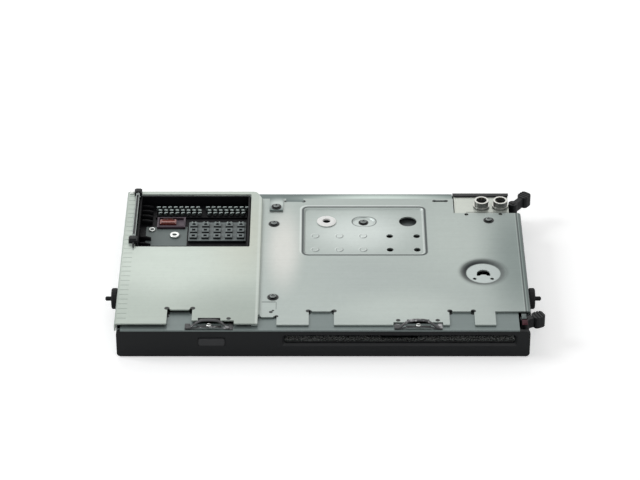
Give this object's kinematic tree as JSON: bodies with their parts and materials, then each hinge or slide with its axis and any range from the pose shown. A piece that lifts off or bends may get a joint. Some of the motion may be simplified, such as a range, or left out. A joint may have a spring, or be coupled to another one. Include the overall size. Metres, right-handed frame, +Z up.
{
  "type": "car cd player",
  "caption": "Slim slot-loading car disc player lying flat: pressed steel case, connector recess with fuse, antenna sockets, leaf springs, swivel clips and a working disc mechanism inside.",
  "frame": {"origin": "centre of the case's bottom face", "axes": "+X to the right along the long edge, +Y from the disc slot towards the far edge, +Z up through the large sheet-metal face"},
  "size_m": [0.2388, 0.1378, 0.0229],
  "materials": {
    "pale_steel": "satin zinc-plated sheet, pale",
    "grey_steel": "satin zinc-plated sheet, grey",
    "dark_steel": "satin zinc-plated sheet, blue-grey",
    "spring_steel": "dark tempered spring sheet",
    "bright_steel": "bright plated",
    "tin_plate": "bright tin plate",
    "black_plastic": "matt black moulding",
    "grey_plastic": "matt grey moulding",
    "white_plastic": "matt white moulding",
    "purple_plastic": "matt pale purple moulding",
    "red_plastic": "glossy red moulding",
    "black_rubber": "matt black rubber",
    "black_felt": "black felt",
    "green_board": "green lacquered board",
    "gold_contact": "gold plated",
    "clear_lens": "polished"
  },
  "bodies": {
    "case": {"adjuster_screw": "bright_steel", "amplifier_chip": "black_plastic", "antenna_bracket": "tin_plate", "antenna_contact_left": "gold_contact", "antenna_contact_right": "gold_contact", "antenna_socket_left": "bright_steel", "antenna_socket_right": "bright_steel", "centre_wall": "dark_steel", "chassis_tray": "dark_steel", "clamp_bracket": "dark_steel", "connector_shell": "black_plastic", "corner_block_far": "black_plastic", "corner_block_near": "black_plastic", "cover_screw_antenna": "bright_steel", "cover_screw_far": "bright_steel", "cover_screw_near": "bright_steel", "eject_switch": "grey_plastic", "far_rail": "dark_steel", "feed_motor": "bright_steel", "front_bezel": "black_plastic", "fuse": "red_plastic", "fuse_holder": "purple_plastic", "ground_eyelet": "bright_steel", "guide_rod_far": "bright_steel", "guide_rod_near": "bright_steel", "leaf_spring_left": "spring_steel", "leaf_spring_right": "spring_steel", "left_cover": "pale_steel", "lever_cap_far": "black_plastic", "lever_cap_near": "black_plastic", "loading_motor": "bright_steel", "main_board": "green_board", "mechanism_deck": "grey_steel", "near_rail": "dark_steel", "panel_bush": "white_plastic", "power_header": "tin_plate", "processor_chip": "black_plastic", "right_cover": "grey_steel", "roller_bracket_left": "grey_plastic", "roller_bracket_right": "grey_plastic", "side_boss_left": "black_rubber", "side_boss_right": "black_rubber", "signal_header": "tin_plate", "slot_felt": "black_felt", "spindle_motor": "bright_steel", "tongue_screw": "bright_steel", "upper_disc_guide": "black_plastic"},
    "eject_button": {"eject_button": "grey_plastic"},
    "lock_lever": {"lock_lever": "bright_steel"},
    "clip_near": {"clip_near": "black_plastic"},
    "clip_far": {"clip_far": "black_plastic"},
    "turntable": {"turntable": "black_plastic"},
    "clamp_arm": {"clamp_arm": "grey_steel"},
    "clamp_puck": {"clamp_puck": "black_plastic"},
    "pickup": {"pickup_sled": "black_plastic", "pickup_lens": "clear_lens"},
    "feed_pinion": {"feed_pinion": "white_plastic"},
    "loading_roller": {"loading_roller": "bright_steel"},
    "idler_gear": {"idler_gear": "white_plastic"},
    "motor_pinion": {"motor_pinion": "white_plastic"}
  },
  "joints": [
    {"name": "eject_button_press", "type": "slide", "parent": "case", "child": "eject_button", "axis": [0, 1, 0], "range_m": [0, 0.0008], "stiffness_N_per_m": 300, "springref_m": -0.0008},
    {"name": "lock_lever_swing", "type": "hinge", "parent": "case", "child": "lock_lever", "pos_m": [-0.1058, 0.03975, 0.0217], "axis": [0, 1, 0], "range_deg": [0, 90]},
    {"name": "clip_near_swivel", "type": "hinge", "parent": "case", "child": "clip_near", "pos_m": [0.1084, -0.0567, 0.0113], "axis": [0, 0, 1], "range_deg": [-60, 0]},
    {"name": "clip_far_swivel", "type": "hinge", "parent": "case", "child": "clip_far", "pos_m": [0.1084, 0.0577, 0.0113], "axis": [0, 0, 1], "range_deg": [-35, 30]},
    {"name": "turntable_spin", "type": "hinge", "parent": "case", "child": "turntable", "pos_m": [0.041, 0.003, 0.0071], "axis": [0, 0, 1], "continuous": true},
    {"name": "clamp_arm_tip", "type": "hinge", "parent": "case", "child": "clamp_arm", "pos_m": [0.041, 0.0579, 0.015], "axis": [1, 0, 0], "range_deg": [0, 4], "stiffness_Nm_per_rad": 0.02, "springref_deg": -28.65},
    {"name": "clamp_puck_spin", "type": "hinge", "parent": "clamp_arm", "child": "clamp_puck", "pos_m": [0.041, 0.003, 0.0132], "axis": [0, 0, 1], "continuous": true},
    {"name": "pickup_slide", "type": "slide", "parent": "case", "child": "pickup", "axis": [1, 0, 0], "range_m": [0, 0.0335]},
    {"name": "feed_pinion_spin", "type": "hinge", "parent": "case", "child": "feed_pinion", "pos_m": [0.072, -0.0233, 0.00535], "axis": [0, 0, 1], "range_deg": [-405, 5]},
    {"name": "loading_roller_spin", "type": "hinge", "parent": "case", "child": "loading_roller", "pos_m": [0.041, -0.0575, 0.0046], "axis": [1, 0, 0], "continuous": true},
    {"name": "idler_gear_spin", "type": "hinge", "parent": "case", "child": "idler_gear", "pos_m": [-0.0269, -0.05241, 0.00969], "axis": [1, 0, 0], "continuous": true},
    {"name": "motor_pinion_spin", "type": "hinge", "parent": "case", "child": "motor_pinion", "pos_m": [-0.0269, -0.04551, 0.00969], "axis": [1, 0, 0], "continuous": true}
  ],
  "couplings": [
    {"joint": "clamp_puck_spin", "follows": "turntable_spin", "ratio": 1},
    {"joint": "feed_pinion_spin", "follows": "pickup_slide", "rad_per_m": -208.33},
    {"joint": "idler_gear_spin", "follows": "loading_roller_spin", "ratio": -0.6},
    {"joint": "motor_pinion_spin", "follows": "loading_roller_spin", "ratio": 1.125}
  ]
}
